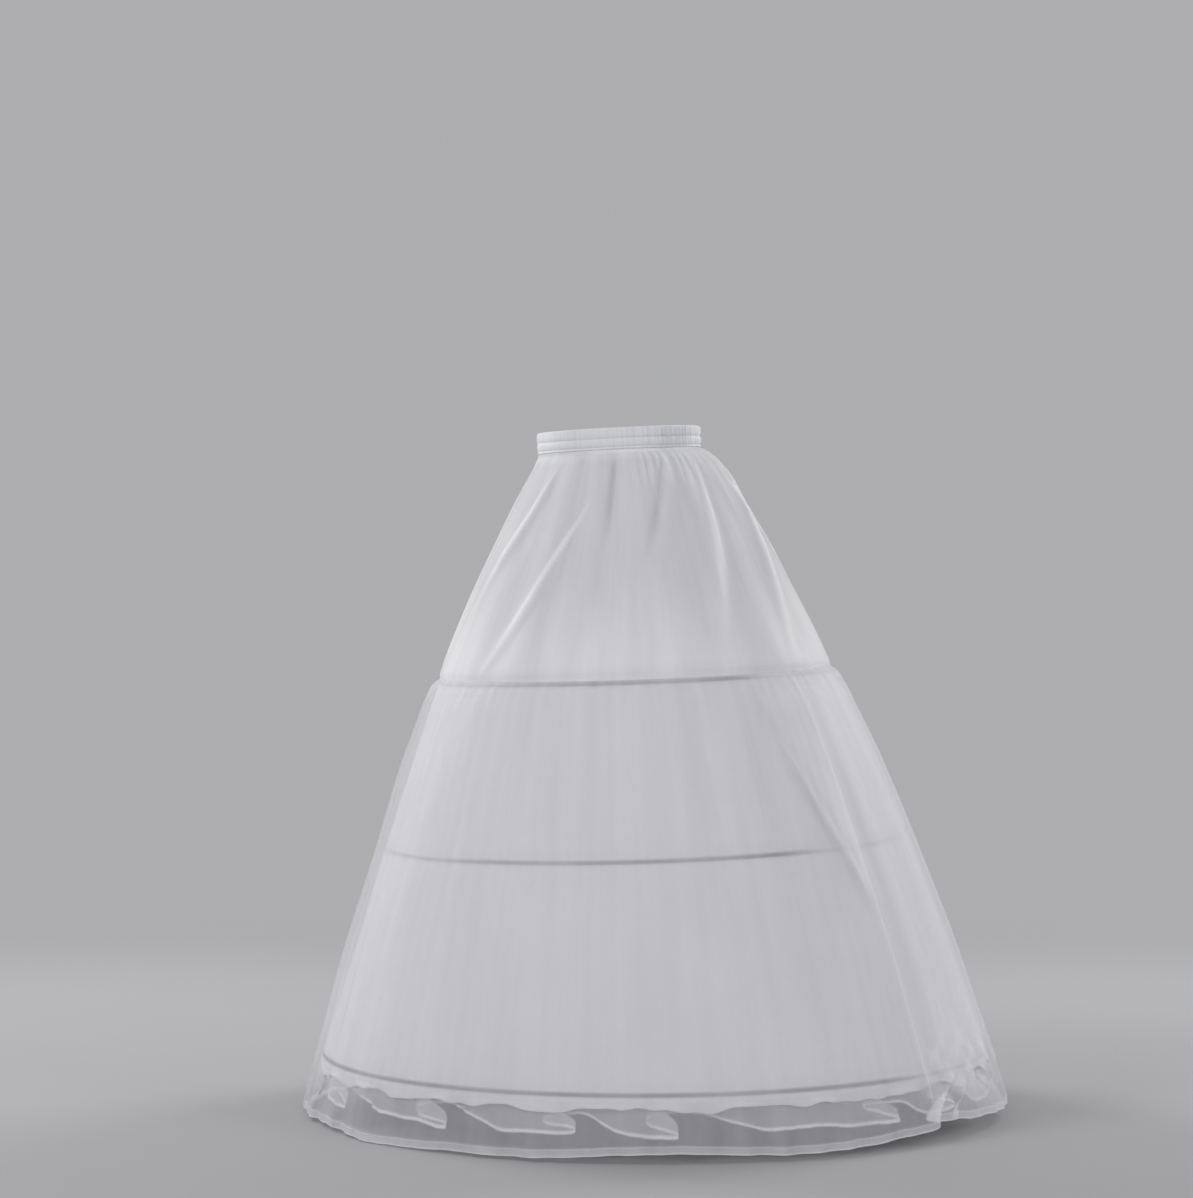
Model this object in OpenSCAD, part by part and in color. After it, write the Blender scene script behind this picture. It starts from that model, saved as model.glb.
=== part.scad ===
// Hooped petticoat: a gathered upper skirt on an elastic waistband, a lining held out
// by three flat hoops in sewn casings, a sheer overskirt and a pleated hem ruffle.
// Millimetres, +Z up, front at -Y. The origin is the centre of the waistband's top edge.

/* [Waist] */
// Breadth of the waist opening, side to side
waist_breadth = 250; // [200:1:320]
// Depth of the waist opening, front to back
waist_depth = 207; // [165:1:280]
// Rise of the waist from front to back, in degrees
waist_tilt = 3; // [0:0.5:6]
// Width of the elastic in the waistband
elastic_width = 25; // [15:1:40]
// Thickness of the elastic
elastic_thickness = 1.5; // [1:0.1:3]
// Height of the skirt edge that is tucked into the waistband
waist_tuck = 5; // [3:0.5:10]
// Height of the shirring ridges on the waistband
shirr_depth = 1.2; // [0:0.1:2.5]
// Depth of the stitch line round the waistband
stitch_depth = 0.5; // [0:0.1:0.7]

/* [Hoops] */
// Diameter of the upper hoop
upper_hoop_d = 546; // [450:1:640]
// Diameter of the middle hoop
middle_hoop_d = 726; // [640:1:830]
// Diameter of the lower hoop
lower_hoop_d = 926; // [830:1:1100]
// Drop of the upper hoop below the waist
upper_hoop_drop = 345; // [250:1:430]
// Drop of the middle hoop below the waist
middle_hoop_drop = 575; // [480:1:690]
// Drop of the lower hoop below the waist
lower_hoop_drop = 870; // [750:1:980]
// Distance that the upper hoop's centre lies behind the waist's
upper_hoop_back = 29; // [0:1:60]
// Distance that the middle hoop's centre lies behind the waist's
middle_hoop_back = 46; // [0:1:80]
// Distance that the lower hoop's centre lies behind the waist's
lower_hoop_back = 61; // [0:1:100]
// Rise of the upper hoop from front to back, in degrees
upper_hoop_tilt = 2.4; // [0:0.1:5]
// Rise of the middle hoop from front to back, in degrees
middle_hoop_tilt = 2.2; // [0:0.1:5]
// Rise of the lower hoop from front to back, in degrees
lower_hoop_tilt = 0.6; // [0:0.1:5]

/* [Hoop strip, sleeve and casing] */
// Width of the hoop strip
hoop_width = 6; // [4:0.5:12]
// Thickness of the hoop strip
hoop_thickness = 1.4; // [0.8:0.1:2.5]
// Gap between the two ends of a hoop, inside its sleeve
hoop_end_gap = 4; // [1:0.5:10]
// Length of the sleeve that joins the ends of a hoop
sleeve_length = 50; // [30:1:90]
// Wall of the sleeve
sleeve_wall = 0.8; // [0.5:0.1:1.5]
// Clearance of the hoop strip in its sleeve
sleeve_fit = 0.2; // [0.1:0.05:0.4]
// Width of the sewn margin along each edge of a casing
casing_margin = 3.5; // [2:0.5:8]
// Thickness of the casing tape
casing_wall = 0.8; // [0.5:0.1:1.5]

/* [Cloth] */
// Thickness of the skirt cloths
cloth = 1; // [0.6:0.1:1.5]
// Thickness of the waistband cloth
band_cloth = 1; // [0.8:0.1:1.5]
// Clearance between sewn edges and between cloth and casing
seam_gap = 0.3; // [0.2:0.05:0.6]
// Outward swell of the upper skirt between waist and hoop
upper_swell = 11; // [0:0.5:25]
// Depth of the small gathers below the waistband
gather_depth = 6; // [0:0.5:9]
// Depth of the long folds in the upper skirt
fold_depth = 7; // [0:0.5:12]
// Height of the lining's free edge below the lower casing
lining_hem = 14; // [6:1:22]

/* [Overskirt and ruffle] */
// Distance that the overskirt's hem stands out from the lower hoop
hem_reach = 25; // [15:1:60]
// Drop of the overskirt's hem below the lower hoop
hem_fall = 75; // [55:1:140]
// Distance that the hem's centre lies behind the lower hoop's
hem_back = 2; // [-8:1:8]
// Rise of the hem from front to back, in degrees
hem_tilt = 1.2; // [0:0.1:3]
// Height of the turned hem
hem_turn = 14; // [8:1:24]
// Stand-off of the overskirt from the lining
overskirt_ease = 8; // [3:0.5:14]
// Depth of the overskirt's soft flutes at the hem
flute_depth = 9; // [0:0.5:14]
// Height of the pleated ruffle below the lower casing
ruffle_height = 46; // [36:1:52]
// Depth of the ruffle's pleats at its hem
pleat_depth = 30; // [0:1:36]

/* [Hidden] */

// Columns of points round the waist, the lining and overskirt, and the ruffle
waist_columns = 84;
skirt_columns = 72;
ruffle_columns = 120;
// Facets of the revolved pieces
$fn = 120;

// Counts of gathers, folds, flutes and pleats round the skirt
gather_count = 21;
fold_count = 11;
flute_count = 9;
small_flute_count = 14;
hem_ripple_count = 18;
pleat_count = 16;

// The folded waistband, from the elastic outwards
elastic_play = 0.5;
band_channel = elastic_thickness + 2 * seam_gap;
band_thickness = band_channel + 2 * band_cloth;
band_height = band_cloth + elastic_play + elastic_width + elastic_play + waist_tuck;
band_edge = band_cloth / 2;
stitch_at = 0.62 * band_height;
stitch_half_width = 1.2;

// The hoop, its sleeve and its casing, across and along the slope of the skirt
sleeve_half_t = hoop_thickness / 2 + sleeve_fit + sleeve_wall;
sleeve_half_w = hoop_width / 2 + sleeve_fit + sleeve_wall;
strip_chamfer = min(hoop_thickness, hoop_width) / 5;
channel_half_w = sleeve_half_w + seam_gap;
casing_half_w = channel_half_w + casing_wall + casing_margin;
lining_n = sleeve_half_t + seam_gap;
overskirt_n = lining_n + cloth + 2 * seam_gap;

// A ring is [half breadth, half depth, distance back, height, tilt]
waist = [waist_breadth / 2, waist_depth / 2, 0, 0, waist_tilt];
hoops = [
    [upper_hoop_d / 2, upper_hoop_d / 2, upper_hoop_back, -upper_hoop_drop, upper_hoop_tilt],
    [middle_hoop_d / 2, middle_hoop_d / 2, middle_hoop_back, -middle_hoop_drop, middle_hoop_tilt],
    [lower_hoop_d / 2, lower_hoop_d / 2, lower_hoop_back, -lower_hoop_drop, lower_hoop_tilt]
];
hem = [
    hoops[2][0] + hem_reach, hoops[2][1] + hem_reach,
    lower_hoop_back + hem_back, -lower_hoop_drop - hem_fall,
    hem_tilt
];

// Slope of the skirt from the vertical at each hoop, in degrees
upper_slope = atan((hoops[1][0] - hoops[0][0]) / (hoops[0][3] - hoops[1][3]));
lower_slope = atan((hoops[2][0] - hoops[1][0]) / (hoops[1][3] - hoops[2][3]));
slopes = [upper_slope, (upper_slope + lower_slope) / 2, lower_slope];

// Share of the gathers at a turn round the waist: little at the front, most at the back
function gather_share(turn) = 0.12 + 0.88 * pow((1 + sin(turn)) / 2, 0.6);

// A wave from 0 to 1, so that folds only ever stand outwards
function outward_wave(angle) = (1 + cos(angle)) / 2;

// The ring a share t of the way from one ring to another
function between(a, b, t) = (1 - t) * a + t * b;

// The ring moved along its own axis
function lifted(ring, lift) = [
    ring[0], ring[1],
    ring[2] - lift * sin(ring[4]), ring[3] + lift * cos(ring[4]),
    ring[4]
];

// The ring made wider all round
function grown(ring, grow) = [ring[0] + grow, ring[1] + grow, ring[2], ring[3], ring[4]];

// The point of a ring at a turn round it
function ring_point(ring, turn) = [
    ring[0] * cos(turn),
    ring[2] + ring[1] * sin(turn) * cos(ring[4]),
    ring[3] + ring[1] * sin(turn) * sin(ring[4])
];

// The ring that lies n outwards and s upwards of hoop k along the skirt's slope. Its corners
// stand far enough out for the sides between them to clear a true circle.
function slope_ring(k, n, s, columns) =
    let (
        out = n * cos(slopes[k]) - s * sin(slopes[k]),
        up = n * sin(slopes[k]) + s * cos(slopes[k]),
        corner = (hoops[k][0] + out) / cos(180 / columns)
    )
    grown(lifted(hoops[k], up), corner - hoops[k][0]);

// The turn of a column, with column 0 at the wearer's left
function turn_of(column, columns) = 360 * column / columns;

// A closed solid through a closed loop of rows, each a closed loop of points. The first half of
// the rows is the outer wall and the second half the inner one, split along the same diagonals.
module loft(rows) {
    row_count = len(rows);
    columns = len(rows[0]);
    points = [for (row = rows) each row];
    faces = [
        for (i = [0 : row_count - 1], j = [0 : columns - 1])
            let (
                next_row = (i + 1) % row_count,
                next = (j + 1) % columns,
                a = i * columns + j,
                b = i * columns + next,
                c = next_row * columns + next,
                d = next_row * columns + j
            )
            each i < floor(row_count / 2) ? [[a, b, c], [a, c, d]] : [[a, b, d], [b, c, d]]
    ];
    polyhedron(points, faces, convexity = 8);
}

// Places a piece in the plane of hoop k
module at_hoop(k) {
    translate([0, hoops[k][2], hoops[k][3]])
        rotate([hoops[k][4], 0, 0])
            children();
}

// Turns a section drawn across (x) and along (y) the skirt's slope round hoop k
module revolve(k, from, sweep) {
    rotate([0, 0, from])
        rotate_extrude(angle = sweep)
            translate([hoops[k][0], 0])
                rotate(slopes[k])
                    children();
}

// Waistband: one strip folded over at the top, open below for the skirt's gathered edge
module waistband() {
    outer = band_thickness;
    section = [
        [outer, -band_height, 1],
        [outer, -stitch_at - stitch_half_width, 1],
        [outer - stitch_depth, -stitch_at, 0],
        [outer, -stitch_at + stitch_half_width, 1],
        [outer, -band_edge, 1],
        [outer - band_edge, 0, 0],
        [band_edge, 0, 0],
        [0, -band_edge, 0],
        [0, -band_height, 0],
        [band_cloth, -band_height, 0],
        [band_cloth, -band_cloth, 0],
        [outer - band_cloth, -band_cloth, 0],
        [outer - band_cloth, -band_height, 0]
    ];
    color([0.86, 0.87, 0.89])
        loft([
            for (p = section) [
                for (column = [0 : waist_columns - 1])
                    let (
                        turn = turn_of(column, waist_columns),
                        ridge = p[2] * shirr_depth * gather_share(turn)
                            * outward_wave(gather_count * turn)
                    )
                    ring_point(lifted(grown(waist, p[0] + ridge), p[1]), turn)
            ]
        ]);
}

// Elastic: a flat oval band in the fold of the waistband
module waist_elastic() {
    inner = band_cloth + seam_gap;
    outer = inner + elastic_thickness;
    top = -band_cloth - elastic_play;
    bottom = top - elastic_width;
    color([0.92, 0.92, 0.9])
        loft([
            for (p = [[outer, bottom], [outer, top], [inner, top], [inner, bottom]]) [
                for (column = [0 : waist_columns - 1])
                    ring_point(lifted(grown(waist, p[0]), p[1]), turn_of(column, waist_columns))
            ]
        ]);
}

// Upper skirt: tucked into the waistband, gathered at the back and sides, and sewn at its
// lower edge to the lining at the upper hoop
module upper_skirt() {
    tucked = (band_thickness - cloth) / 2;
    neck = lifted(waist, -band_height - seam_gap);
    foot_at = casing_half_w + seam_gap + cloth * tan(slopes[0]);
    foot = slope_ring(0, lining_n, foot_at, waist_columns);
    neck_lean = 0.4;
    shares = [0, 0.05, 0.14, 0.28, 0.5, 0.75, 1];

    // Small gathers, deepest a little below the band, and long folds that die out at the hoop
    function drape(turn, t) = gather_share(turn) * (
        gather_depth * (t / 0.14) * exp(1 - t / 0.14) * cos(gather_count * turn)
        + fold_depth * sin(180 * sqrt(t)) * cos(fold_count * turn + 40)
    );
    function ring_at(t) =
        let (
            straight = between(grown(neck, tucked), foot, t),
            swell = upper_swell * sqrt(4 * t * (1 - t)),
            back = neck[2] + (foot[2] - neck[2]) * pow(t, neck_lean)
        )
        [straight[0] + swell, straight[1] + swell, back, straight[3], straight[4]];
    function row_at(t, inset) = [
        for (column = [0 : waist_columns - 1])
            let (turn = turn_of(column, waist_columns))
            ring_point(grown(ring_at(t), cloth - inset + drape(turn, t)), turn)
    ];
    function tuck_row(inset) = [
        for (column = [0 : waist_columns - 1])
            ring_point(
                lifted(grown(waist, tucked + cloth - inset), waist_tuck - band_height),
                turn_of(column, waist_columns)
            )
    ];
    color([0.84, 0.83, 0.84])
        loft(concat(
            [for (i = [len(shares) - 1 : -1 : 0]) row_at(shares[i], 0)],
            [tuck_row(0), tuck_row(cloth)],
            [for (t = shares) row_at(t, cloth)]
        ));
}

// Lining: one skirt of plain cloth over the three casings, with a rippled free hem
module lining() {
    ripple_depth = 3;
    hem_inset = 4;
    bottom = -casing_half_w - lining_hem;
    // Each row is [hoop, outward, upward, share of the ripple]
    rows = [
        for (k = [0 : 2], s = [casing_half_w, -casing_half_w]) [k, 0, s, 0],
        [2, -hem_inset, bottom, 1]
    ];
    function row_at(row, n) = [
        for (column = [0 : skirt_columns - 1])
            let (
                turn = turn_of(column, skirt_columns),
                ripple = row[3] * ripple_depth * outward_wave(hem_ripple_count * turn)
            )
            ring_point(slope_ring(row[0], n + row[1] + ripple, row[2], skirt_columns), turn)
    ];
    color([0.82, 0.82, 0.84])
        loft(concat(
            [for (i = [len(rows) - 1 : -1 : 0]) row_at(rows[i], lining_n + cloth)],
            [for (row = rows) row_at(row, lining_n)]
        ));
}

// Overskirt: a sheer layer sewn on at the upper hoop, fluted towards its turned hem
module overskirt() {
    tier_swell = 4;
    puff = overskirt_ease + 1;
    puff_at = -casing_half_w - 8;
    hem_ease = overskirt_ease - 3;
    // Each row is [ring, share of the flutes]
    top = slope_ring(0, overskirt_n, casing_half_w, skirt_columns);
    shoulder = slope_ring(0, overskirt_n + puff, puff_at, skirt_columns);
    waistward = slope_ring(1, overskirt_n + overskirt_ease, 0, skirt_columns);
    footward = slope_ring(2, overskirt_n + hem_ease, 0, skirt_columns);
    edge = lifted(hem, hem_turn);
    rows = [
        [top, 0],
        [shoulder, 0.25],
        [grown(between(shoulder, waistward, 0.5), tier_swell), 0.3],
        [waistward, 0.35],
        [grown(between(waistward, footward, 0.5), tier_swell), 0.45],
        [footward, 0.5],
        [edge, 0.9],
        [hem, 1]
    ];
    last = len(rows) - 1;

    function flute(turn) = flute_depth
        * (0.6 * outward_wave(flute_count * turn + 20) + 0.4 * outward_wave(small_flute_count * turn + 75));
    function row_at(row, inset) = [
        for (column = [0 : skirt_columns - 1])
            let (turn = turn_of(column, skirt_columns))
            ring_point(grown(row[0], cloth - inset + row[1] * flute(turn)), turn)
    ];
    color([0.88, 0.89, 0.92])
        loft(concat(
            [for (i = [last : -1 : 0]) row_at(rows[i], 0)],
            [for (i = [0 : last - 1]) row_at(rows[i], cloth)],
            [for (i = [last - 1, last]) row_at(rows[i], 2 * cloth)]
        ));
}

// Hem ruffle: a pleated frill sewn to the lower casing, inside the lining's free edge
module hem_ruffle() {
    top = -casing_half_w - seam_gap;
    top_n = sleeve_half_t - seam_gap - cloth;
    hem_rise = 6;
    // Each row is [share of the height, inward set, share of the pleats]
    rows = [[0, 0, 0], [0.3, 9, 0.12], [0.62, 16, 0.6], [1, 18, 1]];

    function row_at(row, inset) = [
        for (column = [0 : ruffle_columns - 1])
            let (
                turn = turn_of(column, ruffle_columns),
                pleat = row[2] * pleat_depth
                    * (outward_wave(pleat_count * turn + 25 * sin(3 * turn)) - 0.5),
                rise = row[0] * hem_rise * outward_wave(5 * turn + 30),
                out = top_n - row[1] + pleat + cloth - inset
            )
            ring_point(slope_ring(2, out, top - row[0] * ruffle_height + rise, ruffle_columns), turn)
    ];
    color([0.9, 0.9, 0.93])
        loft(concat(
            [for (i = [len(rows) - 1 : -1 : 0]) row_at(rows[i], 0)],
            [for (row = rows) row_at(row, cloth)]
        ));
}

// Casing k: a tape sewn along both edges to the inside of the lining, with a channel for the hoop
module casing(k) {
    face = sleeve_half_t;
    web = -(sleeve_half_t + seam_gap);
    shoulder_w = channel_half_w + casing_wall;
    half = [
        [face - casing_wall, casing_half_w],
        [face - casing_wall, shoulder_w],
        [web - casing_wall, shoulder_w]
    ];
    channel = [
        [web, channel_half_w],
        [face, channel_half_w],
        [face, casing_half_w]
    ];
    lower_half = [for (i = [len(half) - 1 : -1 : 0]) [half[i][0], -half[i][1]]];
    lower_channel = [for (i = [len(channel) - 1 : -1 : 0]) [channel[i][0], -channel[i][1]]];
    color([0.8, 0.8, 0.83])
        at_hoop(k)
            revolve(k, 0, 360)
                polygon(concat(half, lower_half, lower_channel, channel));
}

// Hoop k: a flat sprung strip, bent round so that its ends meet at the back
module hoop(k) {
    gap_turn = hoop_end_gap / hoops[k][0] * 180 / PI;
    x = hoop_thickness / 2;
    y = hoop_width / 2;
    c = strip_chamfer;
    color([0.75, 0.75, 0.77])
        at_hoop(k)
            revolve(k, 90 + gap_turn / 2, 360 - gap_turn)
                polygon([
                    [x, y - c], [x - c, y], [c - x, y], [-x, y - c],
                    [-x, c - y], [c - x, -y], [x - c, -y], [x, c - y]
                ]);
}

// Sleeve k: a flattened tube over the two ends of the hoop
module sleeve(k) {
    sleeve_turn = sleeve_length / hoops[k][0] * 180 / PI;
    bore = [hoop_thickness + 2 * sleeve_fit, hoop_width + 2 * sleeve_fit];
    color([0.9, 0.9, 0.9])
        at_hoop(k)
            revolve(k, 90 - sleeve_turn / 2, sleeve_turn)
                difference() {
                    square([2 * sleeve_half_t, 2 * sleeve_half_w], center = true);
                    square(bore, center = true);
                }
}

waistband();
waist_elastic();
upper_skirt();
lining();
overskirt();
hem_ruffle();
casing(0);  // upper_casing
casing(1);  // middle_casing
casing(2);  // lower_casing
hoop(0);  // upper_hoop
hoop(1);  // middle_hoop
hoop(2);  // lower_hoop
sleeve(0);  // upper_sleeve
sleeve(1);  // middle_sleeve
sleeve(2);  // lower_sleeve
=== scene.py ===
# %% [markdown]
# # A hooped petticoat
# The CAD model gives the petticoat's sizes: an elastic waistband, a gathered upper skirt, a lining
# that three hoops hold out, a sheer overskirt and a pleated ruffle under its hem. Here each cloth
# is made again as thin cloth with its folds, and every piece gets its finish. The frame is loaded
# first, because everything is placed against it, and its box is kept to set the floor's height.

# %% Load the frame
import math
import random

import bmesh
import bpy
import numpy as np
from mathutils import Matrix, Vector


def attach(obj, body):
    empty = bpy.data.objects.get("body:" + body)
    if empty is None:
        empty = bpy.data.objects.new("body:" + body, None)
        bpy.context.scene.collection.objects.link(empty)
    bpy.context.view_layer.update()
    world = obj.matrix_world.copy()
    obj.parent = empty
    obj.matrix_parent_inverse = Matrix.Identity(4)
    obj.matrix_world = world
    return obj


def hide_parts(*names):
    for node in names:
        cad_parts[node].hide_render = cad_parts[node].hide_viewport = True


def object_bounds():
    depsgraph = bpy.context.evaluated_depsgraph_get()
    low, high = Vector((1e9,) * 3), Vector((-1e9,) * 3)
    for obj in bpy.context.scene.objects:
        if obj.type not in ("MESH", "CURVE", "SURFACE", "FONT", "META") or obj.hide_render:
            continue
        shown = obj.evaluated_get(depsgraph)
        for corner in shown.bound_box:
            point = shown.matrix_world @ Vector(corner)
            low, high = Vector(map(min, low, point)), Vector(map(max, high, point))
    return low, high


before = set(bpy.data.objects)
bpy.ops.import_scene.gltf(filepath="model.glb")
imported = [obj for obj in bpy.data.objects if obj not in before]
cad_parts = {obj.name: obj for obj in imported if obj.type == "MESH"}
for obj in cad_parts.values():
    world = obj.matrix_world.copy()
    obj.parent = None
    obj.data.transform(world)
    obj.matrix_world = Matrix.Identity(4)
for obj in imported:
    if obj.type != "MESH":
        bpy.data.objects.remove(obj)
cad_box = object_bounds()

scene = bpy.context.scene
scene.view_settings.view_transform = "Standard"
print("CAD nodes:", len(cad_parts), "box:", cad_box)

# %% [markdown]
# ## The rings that the skirt hangs on
# A hooped skirt is a stack of rings with cloth stretched between them. Each ring is written as half
# breadth, half depth, distance back, height and tilt, in millimetres and degrees, the way the CAD
# model has it. A point of cloth is then a turn round a ring plus a step outwards, which makes folds
# easy to write: a fold is a step outwards that changes with the turn. A turn of -90 degrees is the
# front, 0 the wearer's left and 90 the back.

# %% Rings of the waist, the hoops and the hem
MM = 0.001
WAIST = np.array([125.0, 103.5, 0.0, 0.0, 3.0])
HOOPS = np.array([
    [273.0, 273.0, 29.0, -345.0, 2.4],
    [363.0, 363.0, 46.0, -575.0, 2.2],
    [463.0, 463.0, 61.0, -870.0, 0.6],
])
HEM = np.array([488.0, 488.0, 63.0, -945.0, 1.2])


def slope_between(upper, lower):
    """The skirt's slope from the vertical between two hoops, in radians."""
    return math.atan2(lower[0] - upper[0], upper[3] - lower[3])


UPPER_SLOPE = slope_between(HOOPS[0], HOOPS[1])
LOWER_SLOPE = slope_between(HOOPS[1], HOOPS[2])
SLOPES = [UPPER_SLOPE, (UPPER_SLOPE + LOWER_SLOPE) / 2, LOWER_SLOPE]
print("slopes at the hoops:", [round(math.degrees(a), 1) for a in SLOPES])


# %% Rings beside a ring
def lifted(ring, lift):
    """The ring moved along its own axis."""
    tilt = math.radians(ring[4])
    return ring + np.array([0, 0, -lift * math.sin(tilt), lift * math.cos(tilt), 0])


def grown(ring, grow):
    return ring + np.array([grow, grow, 0, 0, 0])


def slope_ring(hoop, out, up):
    """The ring that lies out and up from a hoop, measured along the skirt's slope."""
    a = SLOPES[hoop]
    ring = lifted(HOOPS[hoop], out * math.sin(a) + up * math.cos(a))
    return grown(ring, out * math.cos(a) - up * math.sin(a))


def between(a, b, share):
    return (1 - share) * a + share * b


print("halfway between the upper hoops:", between(HOOPS[0], HOOPS[1], 0.5))

# %% [markdown]
# ## Cloth rolled into a tube
# Every cloth here goes once round the body, so each one starts as a flat grid, with its UV map laid
# in metres so that a weave has the same pitch on every cloth. The grid is rolled into a tube and its
# two ends are merged, as a seam closes a skirt. Spinning a chain of vertices makes the same tube,
# but takes far longer at several hundred steps. The vertices are then moved to the rings: a vertex's
# turn says where it is round the body, and its level how far down the cloth it is.

# %% Roll a cloth
SEAM_X = -0.999999


def new_object(name, bm):
    mesh = bpy.data.meshes.new(name)
    bm.to_mesh(mesh)
    bm.free()
    obj = bpy.data.objects.new(name, mesh)
    scene.collection.objects.link(obj)
    return obj


def rolled_cloth(name, levels, columns, girth):
    """A tube with a row of quads for each level, and each vertex's turn and level."""
    levels = np.asarray(levels, dtype=float)

    def down(vert):
        return levels[round((vert.co.y + 0.5) * (len(levels) - 1))] * MM

    bm = bmesh.new()
    bmesh.ops.create_grid(bm, x_segments=columns, y_segments=len(levels) - 1, size=0.5)
    layer = bm.loops.layers.uv.new("cloth")
    for face in bm.faces:
        face.smooth = True
        for loop in face.loops:
            loop[layer].uv = ((loop.vert.co.x + 0.5) * girth, down(loop.vert))
    for vert in bm.verts:
        turn = 2 * math.pi * vert.co.x
        vert.co = (math.cos(turn), math.sin(turn), down(vert))
    ends = [v for v in bm.verts if v.is_boundary and v.co.x < SEAM_X]
    bmesh.ops.remove_doubles(bm, verts=ends, dist=1e-6)
    bmesh.ops.recalc_face_normals(bm, faces=bm.faces)
    obj = new_object(name, bm)
    where = np.empty(len(obj.data.vertices) * 3)
    obj.data.vertices.foreach_get("co", where)
    where = where.reshape(-1, 3)
    turn = np.degrees(np.arctan2(where[:, 1], where[:, 0]))
    return obj, turn, where[:, 2] / MM


# %% Move it to the rings
def ring_points(rings, turn, out, up=0.0):
    """The points, in metres, at a turn of each ring, a step out and a step up from it."""
    angle, tilt = np.radians(turn), np.radians(rings[:, 4])
    x = (rings[:, 0] + out) * np.cos(angle)
    y = (rings[:, 1] + out) * np.sin(angle)
    back = rings[:, 2] + y * np.cos(tilt) - up * np.sin(tilt)
    height = rings[:, 3] + y * np.sin(tilt) + up * np.cos(tilt)
    return np.stack([x, back, height], axis=1) * MM


def same_ring(ring, count):
    return np.tile(ring, (count, 1))


def rings_at(knots, level):
    """The ring at each level, drawn straight between knots of (level, ring)."""
    at = [k[0] for k in knots]
    rings = np.array([k[1] for k in knots])
    return np.stack([np.interp(level, at, rings[:, i]) for i in range(5)], axis=1)


def move_to_rings(obj, rings, turn, out, up=0.0):
    obj.data.vertices.foreach_set("co", ring_points(rings, turn, out, up).ravel())
    obj.data.update()


def mark(obj, name, values):
    """Keeps a number at each vertex, for the cloth's material to read."""
    layer = obj.data.attributes.new(name, "FLOAT", "POINT")
    layer.data.foreach_set("value", np.asarray(values, dtype=np.float32))


points = ring_points(same_ring(HEM, 360), np.arange(360.0), 0.0)
print("hem across:", round(np.ptp(points[:, 0]), 3), "m")

# %% [markdown]
# ## Words for folds
# Folds are sums of a few simple curves. A crest is one soft bump, and a ridge is a crest at a turn. A
# ramp fades a fold in or out down the cloth, and a bulge swells between two places. A ripple keeps
# neighbours from being alike: it adds nine waves of seeded sizes, and each goes round a whole number
# of times, so it closes on itself where the cloth does.

# %% Fold curves
RIPPLE_WAVES = 9
RIPPLE_SCALE = 3.5


def apart(turn, centre):
    """The angle from a centre, from -180 to 180 degrees."""
    return (turn - centre + 180.0) % 360.0 - 180.0


def crest(value, centre, width, power=2):
    """1 at the centre, falling to 0 beside it. A higher power has a flatter top."""
    return np.exp(-(np.abs((value - centre) / width) ** power))


def ridge(turn, centre, width):
    return crest(apart(turn, centre), 0, width)


def ramp(value, start, end):
    """Eases from 0 at the start to 1 at the end, whichever of the two is larger."""
    share = np.clip((value - start) / (end - start), 0.0, 1.0)
    return share * share * (3 - 2 * share)


def bulge(value, start, end):
    return np.sin(np.pi * np.clip((value - start) / (end - start), 0, 1))


def outward_wave(degrees):
    return (1 + np.cos(np.radians(degrees))) / 2


def ripple(turn, level, round_count, down_count, seed):
    """Uneven waves from about -1 to 1, with so many round the cloth and so many in a millimetre down."""
    draw = random.Random(seed)
    total = np.zeros(len(turn))
    for _ in range(RIPPLE_WAVES):
        count = max(1, round(round_count * draw.uniform(0.45, 1.35)))
        slant = 2 * math.pi * down_count * draw.uniform(-1, 1)
        total += np.cos(np.radians(count * turn) + slant * level + draw.uniform(0, 2 * math.pi))
    return total / RIPPLE_SCALE


def ripples(turn, level, rows):
    """A sum of ripples. A row: size, levels where it starts and is full, waves round, waves down, seed."""
    total = np.zeros(len(turn))
    for size, start, full, *waves in rows:
        total += size * ramp(level, start, full) * ripple(turn, level, *waves)
    return total


sample = ripple(np.arange(360.0), 0.0, 30, 0.0, 1)
print("a ripple runs from", round(sample.min(), 2), "to", round(sample.max(), 2))

# %% [markdown]
# ## Shader sums
# A finish is a small sum of patterns. Wiring Math nodes one by one hides the sum, so one class
# stands for a socket and takes part in Python expressions: each sign adds its Math node. Any other
# node comes from its node method, which takes the node's type, its settings and its inputs.

# %% Socket class
class Wire:
    """A node's output socket that can be added, multiplied and so on."""

    def __init__(self, tree, socket=None):
        self.tree, self.socket = tree, socket

    def node(self, kind, settings=None, inputs=None, output=0):
        made = self.tree.nodes.new(kind)
        for key, value in (settings or {}).items():
            setattr(made, key, value)
        for key, value in (inputs or {}).items():
            if isinstance(value, Wire):
                self.tree.links.new(value.socket, made.inputs[key])
            else:
                made.inputs[key].default_value = value
        return Wire(self.tree, made.outputs[output])

    def beside(self, output):
        """Another output of the same node."""
        return Wire(self.tree, self.socket.node.outputs[output])

    def math(self, operation, first, second=0.0):
        return self.node("ShaderNodeMath", {"operation": operation}, {0: first, 1: second})

    def __add__(self, other):
        return self.math("ADD", self, other)

    def __sub__(self, other):
        return self.math("SUBTRACT", self, other)

    def __rsub__(self, other):
        return self.math("SUBTRACT", other, self)

    def __mul__(self, other):
        return self.math("MULTIPLY", self, other)

    __radd__ = __add__
    __rmul__ = __mul__

    def sine(self):
        return self.math("SINE", self)

    def larger(self, other):
        return self.math("MAXIMUM", self, other)

    def into(self, node, name):
        self.tree.links.new(self.socket, node.inputs[name])

# %% [markdown]
# ## Patterns of cloth
# Woven cloth is told by three things: the crossing threads, streaks where threads crowd or thicken,
# and the marks that the folds leave. The threads are two sines multiplied, the streaks are noise
# drawn out one way, and the marks are numbers kept at the vertices. All are read from the cloth's own
# UV map, so they follow it round every fold.

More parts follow.
